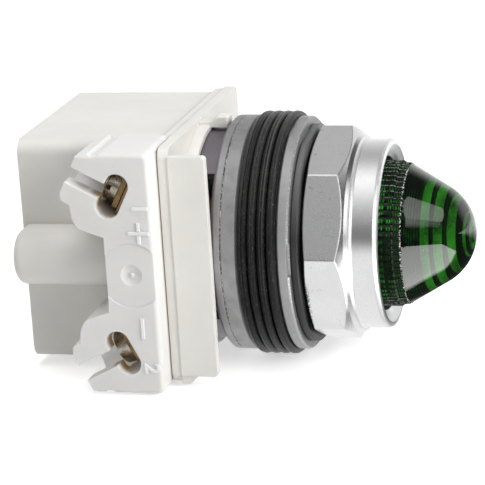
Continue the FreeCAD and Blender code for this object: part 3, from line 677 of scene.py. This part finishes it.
def smoothByAngle(piece, degrees):
    # smooth faces, with edges sharper than the angle kept crisp
    form = bmesh.new()
    form.from_mesh(piece.data)
    for edge in form.edges:
        edge.smooth = not (edge.is_manifold and edge.calc_face_angle(0.0) > degrees * degree)
    for face in form.faces:
        face.smooth = True
    form.to_mesh(piece.data)
    form.free()


# Rubber gaskets: four rings with rounded, slightly ragged rims, the rearmost with a moulding line

gasketShape = {"count": 4, "slices": 240, "rim": 0.76, "rimSteps": 7, "roughening": 0.08,
               "grain": 0.9, "outer": 20.46, "inner": 14.95, "airOuter": 0.02, "airInner": 0.03,
               "line": ((-0.12, 0.02), (-0.05, 0.16), (0.05, 0.16), (0.12, 0.02))}


def gasketLoop(low, high, shape, hasLine):
    # the outline in the order rear, moulding line, front; "line" is (from the middle, depth)
    rim, air = shape["rim"], shape["airOuter"]
    corners = []
    for centre, start in ((low + air + rim, math.pi), (high - air - rim, math.pi / 2)):
        angles = [start - math.pi / 2 * step / shape["rimSteps"]
                  for step in range(shape["rimSteps"] + 1)]
        corners.append([(centre + rim * math.cos(angle),
                         shape["outer"] - rim + rim * math.sin(angle), 0.0) for angle in angles])
    line = []
    if hasLine:
        line = [((low + high) / 2 + along, shape["outer"] - depth, 0.0)
                for along, depth in shape["line"]]
    return ([(low + shape["airInner"], shape["inner"], 0.0)] + corners[0] + line + corners[1]
            + [(high - shape["airInner"], shape["inner"], 0.0)])


def makeGaskets(shape):
    for index in range(shape["count"]):
        nodeName = "panel_gasket_%d" % (index + 1)
        low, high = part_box(nodeName)
        loop = gasketLoop(low.x / mm, high.x / mm, shape, index == 0)
        wedge = sectorMesh(nodeName + "_slice", loop, shape["slices"], 1)
        gasket = grown("gasket_%d" % (index + 1), wedge, aroundAxis,
                       {"Count": shape["slices"], "Roughening": shape["roughening"] * mm,
                        "Grain": 1 / (shape["grain"] * mm), "Seed": 3.0 + index,
                        "Material": gasketRubber})
        settle(gasket, "base", (nodeName,))


makeGaskets(gasketShape)
print("gaskets made")


# Lens: fluted grip, pointed dome, stepped rings inside

lensLow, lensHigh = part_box("lens")
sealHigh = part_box("lens_seal")[1]
# "steps" and "well" are (depth behind the tip, radius)
lensShape = {"flutes": 64, "columns": 6, "fluteDepth": 0.42, "lip": 0.85, "lipRadius": 12.58,
             "grip": 5.5, "gripRadius": 12.18, "small": 1.4, "smallRadius": 11.85,
             "domeRadius": 11.55, "domeRings": 46, "nose": 9.2, "skirtRadius": 11.38,
             "skirtEdge": 0.3, "wall": 1.55, "wellRings": (17.0, 15.5, 14.0, 11.0),
             "well": (8.3, 9.3), "steps": ((6.4, 8.1), (4.6, 6.8), (2.7, 5.0), (1.7, 3.0)),
             "noseRings": (1.2, 2.2), "crisp": 38,
             "seat": sealHigh.x / mm, "tip": lensHigh.x / mm - 0.02, "skirtBack": lensLow.x / mm}
lensShape["gripFront"] = lensShape["seat"] + lensShape["grip"]
lensShape["domeBack"] = lensShape["gripFront"] + lensShape["small"]


def domeRadius(x, shape):
    # straight taper from the grip, then a round nose
    nose, base = shape["nose"], shape["domeRadius"]
    centre = shape["tip"] - nose
    reach = math.hypot(shape["domeBack"] - centre, base)
    angle = math.atan2(base, shape["domeBack"] - centre) - math.acos(nose / reach)
    meetX = centre + nose * math.cos(angle)
    if x > meetX:
        return math.sqrt(max(0.0, nose ** 2 - (x - centre) ** 2))
    return nose * math.sin(angle) - (x - meetX) / math.tan(angle)


def lensLoop(shape):
    grip, small, flute = shape["gripRadius"], shape["smallRadius"], shape["fluteDepth"]
    seat, front, back, tip = (shape[key] for key in ("seat", "gripFront", "domeBack", "tip"))
    skirt, skirtBack, edge = shape["skirtRadius"], shape["skirtBack"], shape["skirtEdge"]
    lip, lipFront = shape["lipRadius"], seat + shape["lip"]
    # skirt, seat and lip, then the fluted band with its small front step
    outer = [(skirtBack, skirt - edge, 0.0), (skirtBack + edge, skirt, 0.0), (seat, skirt, 0.0),
             (seat + 0.02, lip - 0.15, 0.0), (seat + 0.15, lip, 0.0), (lipFront - 0.15, lip, 0.0),
             (lipFront, grip, flute * 0.6), (lipFront + 0.2, grip, flute)]
    outer += [(seat + share * (front - seat), grip, flute) for share in (0.4, 0.6, 0.8)]
    outer += [(front - 0.2, grip, flute), (front - 0.02, small + 0.05, flute * 0.8),
              (front + 0.12, small, flute * 0.75), (back - 0.4, small - 0.05, flute * 0.75),
              (back - 0.12, small - 0.15, flute * 0.6), (back, shape["domeRadius"] + 0.03, 0.0)]
    for ring in range(1, shape["domeRings"]):
        x = back + (tip - back) * math.sin(ring / shape["domeRings"] * math.pi / 2)
        outer.append((x, domeRadius(x, shape), 0.0))
    outer.append((tip, 0.0, 0.0))
    # back along the inside: round steps that widen from the nose to the straight well
    inner = []
    last = 0.0
    for depth, reach in reversed((shape["well"],) + shape["steps"]):
        inner.append((tip - depth, last + 0.12 if last else 0.0, 0.0))
        if not last:
            inner.extend((tip - depth, ring, 0.0) for ring in shape["noseRings"])
        inner += [(tip - depth, reach - 0.2, 0.0), (tip - depth - 0.2, reach, 0.0),
                  (tip - depth - 0.4, reach, 0.0)]
        last = reach
    wellPlaces = (tip - shape["well"][0] - 1.2,) + shape["wellRings"] + (skirtBack,)
    inner += [(x, skirt - shape["wall"], 0.0) for x in wellPlaces]
    return outer + inner


def splitLens(piece, shape):
    # the fluted band, the straight well and the step faces get darker finishes than the dome:
    # painted shade, with painted green light in places
    piece.data.materials.clear()
    for finish in (greenLens, lensGrip, lensWell, lensStep, lensTread):
        piece.data.materials.append(finish)
    dome, grip, well, step, tread = range(5)
    depths = [depth for depth, reach in shape["steps"]] + [shape["well"][0]]
    ringLow, ringHigh = shape["noseRings"]
    for face in piece.data.polygons:
        x = face.center.x / mm
        radius = math.hypot(face.center.y, face.center.z) / mm
        below = shape["tip"] - x
        inside = below > 1.0 and radius < domeRadius(max(x, shape["domeBack"]), shape) - 0.7
        if not inside:
            banded = x < shape["domeBack"] - 0.01 and radius > shape["skirtRadius"] - 0.38
            face.material_index = grip if banded else dome
        elif below > shape["well"][0] - 0.05:
            face.material_index = well
        elif abs(face.normal.x) > 0.5:
            face.material_index = tread if ringLow < radius < ringHigh else step
        else:
            close = min(abs(below - depth - 0.1) for depth in depths) < 0.2
            face.material_index = step if close else tread


lensSlice = sectorMesh("lensSlice", lensLoop(lensShape), lensShape["flutes"],
                       lensShape["columns"])
lensShell = grown("lensShell", lensSlice, aroundAxis,
                  {"Count": lensShape["flutes"], "Roughening": 0.0, "Grain": 100.0, "Seed": 1.0,
                   "Material": greenLens})
smoothByAngle(lensShell, lensShape["crisp"])
splitLens(lensShell, lensShape)
settle(lensShell, "lens_cap", ("lens",))
print("lens made:", len(lensShell.data.polygons), "faces")


# Raised marks beside the terminals: plus, minus and plain numbers

markShape = {"stroke": 0.62, "arm": 3.6, "height": 0.2, "sink": 0.05, "face": -26.0,
             "slope": 0.07, "edge": 0.04, "plus": (-20.75, 7.1), "minus": (-21.2, -8.95),
             "digits": {"1": (-20.4, 11.2), "2": (-20.15, -15.75)}, "digit": 3.5, "bold": 0.09,
             "bevel": 0.03, "crisp": 30}


def raisedBar(form, x, z, alongX, alongZ, shape):
    # a low pad with sloping sides on the near face of the block
    base = shape["face"] + shape["sink"]
    top = shape["face"] - shape["height"]
    slope = shape["slope"]
    rings = []
    for level, inset in ((base, 0.0), (top + shape["edge"], slope / 2), (top, slope)):
        corners = []
        for signX, signZ in ((-1, -1), (1, -1), (1, 1), (-1, 1)):
            corners.append(form.verts.new(((x + signX * (alongX / 2 - inset)) * mm, level * mm,
                                           (z + signZ * (alongZ / 2 - inset)) * mm)))
        rings.append(corners)
    form.faces.new(rings[0][::-1])
    form.faces.new(rings[-1])
    for lower, upper in zip(rings, rings[1:]):
        for index in range(4):
            after = (index + 1) % 4
            form.faces.new((lower[index], lower[after], upper[after], upper[index]))


def markDigit(text, place, shape):
    curve = bpy.data.curves.new("digit" + text, "FONT")
    curve.body = text
    curve.align_x = "CENTER"
    curve.align_y = "CENTER"
    curve.size = shape["digit"] * mm
    curve.extrude = shape["height"] / 2 * mm
    curve.bevel_depth = shape["bevel"] * mm
    curve.offset = shape["bold"] * mm
    curve.resolution_u = 3
    holder = placed("digit" + text, curve)
    depsgraph = bpy.context.evaluated_depsgraph_get()
    mesh = bpy.data.meshes.new_from_object(holder.evaluated_get(depsgraph))
    bpy.data.objects.remove(holder)
    # the digit reads downwards, its head towards the lens, and stands out of the near face
    turn = Matrix(((0, 1, 0, 0), (0, 0, -1, 0), (-1, 0, 0, 0), (0, 0, 0, 1)))
    middle = shape["face"] - shape["height"] / 2 + shape["bevel"]
    shift = Matrix.Translation(Vector((place[0], middle, place[1])) * mm)
    mesh.transform(shift @ turn)
    return mesh


def makeMarks(shape):
    form = bmesh.new()
    arm, stroke = shape["arm"], shape["stroke"]
    x, z = shape["plus"]
    raisedBar(form, x, z, arm, stroke, shape)
    half = (arm - stroke) / 2
    for side in (-1, 1):
        raisedBar(form, x, z + side * (half + stroke) / 2, stroke, half, shape)
    x, z = shape["minus"]
    raisedBar(form, x, z, stroke, arm, shape)
    for text, place in shape["digits"].items():
        form.from_mesh(markDigit(text, place, shape))
    bmesh.ops.remove_doubles(form, verts=form.verts, dist=weld["mesh"])
    bmesh.ops.recalc_face_normals(form, faces=form.faces)
    mesh = bpy.data.meshes.new("terminalMarks")
    form.to_mesh(mesh)
    form.free()
    mesh.materials.append(markPlastic)
    piece = placed("terminalMarks", mesh)
    smoothByAngle(piece, shape["crisp"])
    settle(piece, "base")


makeMarks(markShape)
print("marks made")


# Floor, light and camera

# "card", "table", "behind" and "dark" are how bright shiny surfaces see the floor: a soft card
# in front of the lens, the table under the module, the floor behind it, and the rest
floorLook = {"colour": rgb(0.86, 0.86, 0.86), "shade": rgb(0.84, 0.84, 0.84), "z": -20.62,
             "reach": 3000.0, "glow": 0.55, "farGlow": 0.5, "far": (150, 650), "card": 4.2,
             "cardY": (-5, -8), "cardX": (22, 26), "cardFront": (61, 57), "cardLean": 0.713,
             "cardFade": (0, 190), "table": 1.12, "tableX": (22, 14), "behind": 1.4,
             "behindY": (45, 90), "dark": 0.05}


def makeFloor(look):
    book = Book("paleFloor")
    x, y, z = book.axes()
    tone = book.mix(book.noise(60.0, 2.0, 0.5) * 0.3, look["colour"], look["shade"])
    lit = book.node("ShaderNodeBsdfDiffuse", {}, {"Color": tone})
    # the camera sees the floor whiter further out, where the lamps no longer reach
    far = ((x * x + y * y) ** 0.5).ramp(*look["far"]) * look["farGlow"]
    glow = book.node("ShaderNodeEmission", {},
                     {"Color": white, "Strength": book.ray("Camera") * (far + look["glow"])})
    both = book.node("ShaderNodeAddShader", {}, {0: lit, 1: glow})
    card = y.ramp(*look["cardY"]) * x.ramp(*look["cardX"])
    card = card * (x + y * look["cardLean"]).ramp(*look["cardFront"])
    card = card * (1.0 - y.size().ramp(*look["cardFade"]) * 0.5) * look["card"]
    level = book.highest(card, x.ramp(*look["tableX"]) * look["table"], look["dark"],
                         y.ramp(*look["behindY"]) * look["behind"])
    seen = book.node("ShaderNodeEmission", {}, {"Color": white, "Strength": level})
    shown = book.node("ShaderNodeMixShader", {}, {0: book.ray("Glossy"), 1: both, 2: seen})
    book.node("ShaderNodeOutputMaterial", {}, {"Surface": shown})
    mesh = bpy.data.meshes.new("floor")
    corners = ((-1, -1), (1, -1), (1, 1), (-1, 1))
    reach = look["reach"] * mm
    mesh.from_pydata([(sideX * reach, sideY * reach, look["z"] * mm) for sideX, sideY in corners],
                     [], [(0, 1, 2, 3)])
    mesh.materials.append(book.material)
    placed("floor", mesh)


# what shiny surfaces see, by direction: a ring of tones over the top from front to back for
# the parts turned round the axis, and at the lens end a soft window pane and a back window
roomLook = {"ring": ((-90, 1.3), (-62, 2.0), (-38, 1.5), (-19, 0.14), (2, 0.02), (18, 0.12),
                     (32, 0.5), (50, 0.9), (74, 1.9), (92, 1.8), (108, 0.9), (124, 0.62),
                     (150, 1.05), (172, 1.5)),
            "lensEnd": (0.0, 0.25), "level": 0.8, "dark": 0.09, "diffuse": 0.28,
            "back": {"level": 1.2, "y": (0.3, 0.65), "z": (0.62, 0.32)},
            "pane": {"level": 2.7, "low": 9, "high": 51, "side": 50, "lean": 0.6, "bend": 29,
                     "soft": 1.0, "fade": 140}}


def makeWorld(look):
    book = Book("studioWorld", bpy.data.worlds, "Generated")
    x, y, z = book.axes()
    around = book.calc("ARCTAN2", z, -y) / degree
    around = around + book.calc("LESS_THAN", around, -90.0) * 360.0
    ring = look["ring"][0][1]
    for (low, first), (high, last) in zip(look["ring"], look["ring"][1:]):
        ring = around.ramp(low, high, 1.0) * (last - first) + ring
    sideways = book.calc("ARCTAN2", x, -y) / degree
    rise = book.calc("ARCSINE", z) / degree
    window = look["pane"]
    soft = window["soft"]
    over = book.highest(rise - window["bend"], 0.0)
    edge = (rise - window["low"]) * window["lean"] + over + window["side"]
    pane = ((edge - sideways) / (2 * soft)).clamped()
    pane = pane * rise.between(window["low"], window["high"], soft, 1.0)
    pane = pane * (1.0 - (sideways - window["side"]) / window["fade"]) * window["level"]
    back = look["back"]
    backWindow = y.ramp(*back["y"], 1.0) * back["level"] * z.ramp(*back["z"], 1.0)
    windows = book.highest(backWindow, pane, look["dark"])
    seen = ring + (windows - ring) * x.ramp(*look["lensEnd"], 1.0)
    shown = book.highest(book.ray("Camera"), book.ray("Transmission"),
                         book.ray("Glossy") * seen * look["level"],
                         book.ray("Diffuse") * look["diffuse"])
    background = book.node("ShaderNodeBackground", {}, {"Color": white, "Strength": shown})
    book.node("ShaderNodeOutputWorld", {}, {"Surface": background})
    bpy.context.scene.world = book.material


lamps = {
    "topBox": {"at": (-60, -60, 430), "aim": (-10, 0, 0), "size": (320, 260), "power": 0.98},
    "rightBox": {"at": (370, -170, 190), "aim": (20, 0, 0), "size": (260, 250), "power": 1.55},
    "lowBox": {"at": (125, -60, -19.8), "aim": (125, -60, 60), "size": (190, 130), "power": 0.1},
}


def makeLamp(name, look):
    data = bpy.data.lights.new(name, "AREA")
    data.shape = "RECTANGLE"
    data.size = look["size"][0] * mm
    data.size_y = look["size"][1] * mm
    data.energy = look["power"]
    lamp = placed(name, data)
    lamp.location = Vector(look["at"]) * mm
    aim = Vector(look["aim"]) * mm - lamp.location
    lamp.rotation_euler = aim.to_track_quat("-Z", "Y").to_euler()
    lamp.visible_camera = False
    lamp.visible_glossy = False
    lamp.visible_transmission = False


# "offset" and "distance" are the frame origin's place as the camera sees it
cameraView = {"focalPixels": 2400.0, "picturePixels": 485, "sensor": 36.0, "azimuth": 14.91,
              "elevation": 16.22, "roll": -3.57, "offset": (10.13, 1.78), "distance": 404.39,
              "clip": (20, 20000)}


def makeCamera(view):
    azimuth, elevation, roll = (view[key] * degree for key in ("azimuth", "elevation", "roll"))
    ahead = Vector((-math.sin(azimuth) * math.cos(elevation),
                    math.cos(azimuth) * math.cos(elevation), -math.sin(elevation)))
    level = Vector((math.cos(azimuth), math.sin(azimuth), 0.0))
    upright = level.cross(ahead)
    right = level * math.cos(roll) + upright * math.sin(roll)
    up = upright * math.cos(roll) - level * math.sin(roll)
    data = bpy.data.cameras.new("camera")
    data.sensor_width = view["sensor"]
    data.lens = view["focalPixels"] / view["picturePixels"] * view["sensor"]
    data.clip_start, data.clip_end = (reach * mm for reach in view["clip"])
    camera = placed("camera", data)
    place = -(right * view["offset"][0] + up * view["offset"][1] + ahead * view["distance"]) * mm
    turn = Matrix((right, up, -ahead)).transposed()
    camera.matrix_world = Matrix.Translation(place) @ turn.to_4x4()
    bpy.context.scene.camera = camera


makeFloor(floorLook)
makeWorld(roomLook)
for name, look in lamps.items():
    makeLamp(name, look)
makeCamera(cameraView)
bpy.context.scene.view_settings.view_transform = "Standard"
print("studio made")
